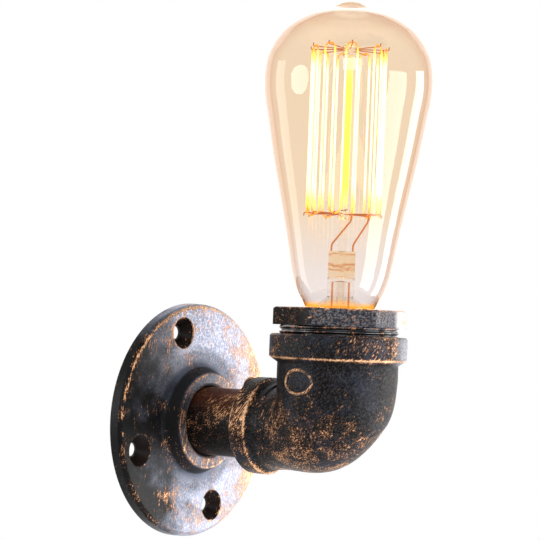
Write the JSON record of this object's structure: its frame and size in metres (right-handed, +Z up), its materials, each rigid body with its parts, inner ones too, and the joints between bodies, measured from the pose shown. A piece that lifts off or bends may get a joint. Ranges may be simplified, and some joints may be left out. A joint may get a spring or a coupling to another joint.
{
  "type": "industrial pipe wall light",
  "caption": "Wall light made of a round floor flange, short pipe, reducing elbow and hex bushing, holding an upright cage-filament bulb.",
  "frame": {"origin": "centre of the flange's back face, on the wall plane", "axes": "+Z up, -Y straight out of the wall along the pipe, +Y into the wall"},
  "size_m": [0.0918, 0.103, 0.207],
  "materials": {
    "flange_iron": "antique black, rubbed back to copper on the edges",
    "pipe_iron": "antique black, rubbed back to copper",
    "elbow_iron": "antique black, rubbed back to copper on beads and bend",
    "bushing_iron": "antique black, rubbed edges",
    "brass_screw": "plain",
    "porcelain": "glazed porcelain",
    "brass_shell": "pressed, satin",
    "terminal_brass": "machined",
    "plated_steel": "zinc plated",
    "bronze": "spring bronze",
    "wire_brown": "silicone sleeve",
    "wire_blue": "silicone sleeve",
    "bare_copper": "tinned ends",
    "cap_brass": "rolled, satin",
    "black_glass": "black glass",
    "solder": "dull solder",
    "cement": "basing cement",
    "amber_glass": "clear with a pale amber coat",
    "clear_glass": "clear",
    "filament": "glowing tungsten",
    "hook_wire": "drawn molybdenum",
    "lead_wire": "nickel, oxidised"
  },
  "bodies": {
    "root": {"wall_flange": "flange_iron", "earth_screw": "brass_screw", "earth_washer": "brass_screw", "pipe_nipple": "pipe_iron"},
    "elbow": {"elbow": "elbow_iron", "hex_bushing": "bushing_iron", "lampholder_body": "porcelain", "screw_shell": "brass_shell", "live_terminal": "terminal_brass", "neutral_terminal": "terminal_brass", "terminal_screws": "plated_steel", "holder_strap": "plated_steel", "holder_screws": "plated_steel", "live_wire": "wire_brown", "neutral_wire": "wire_blue", "wire_cores": "bare_copper"},
    "tongue": {"centre_tongue": "bronze"},
    "bulb_base": {"bulb_contact": "solder"},
    "bulb": {"bulb_cap": "cap_brass", "cap_insulator": "black_glass", "cap_cement": "cement", "bulb_glass": "amber_glass", "glass_stem": "clear_glass", "exhaust_tube": "clear_glass", "support_rod": "clear_glass", "filament": "filament", "upper_supports": "hook_wire", "lower_supports": "hook_wire", "lead_wires": "lead_wire"}
  },
  "joints": [
    {"name": "elbow_swivel", "type": "hinge", "parent": "root", "child": "elbow", "pos_m": [0, -0.04, 0], "axis": [0, -1, 0], "range_deg": [-90, 90]},
    {"name": "tongue_flex", "type": "hinge", "parent": "elbow", "child": "tongue", "pos_m": [0, -0.064, 0.01615], "axis": [1, 0, 0], "range_deg": [0, 6], "stiffness_Nm_per_rad": 0.2},
    {"name": "bulb_travel", "type": "slide", "parent": "elbow", "child": "bulb_base", "axis": [0, 0, 1], "range_m": [0, 0.01633]},
    {"name": "bulb_turn", "type": "hinge", "parent": "bulb_base", "child": "bulb", "pos_m": [0, -0.071, 0.05], "axis": [0, 0, 1], "range_deg": [0, 1620]}
  ],
  "couplings": [
    {"joint": "bulb_travel", "follows": "bulb_turn", "m_per_rad": 0.00057757}
  ]
}
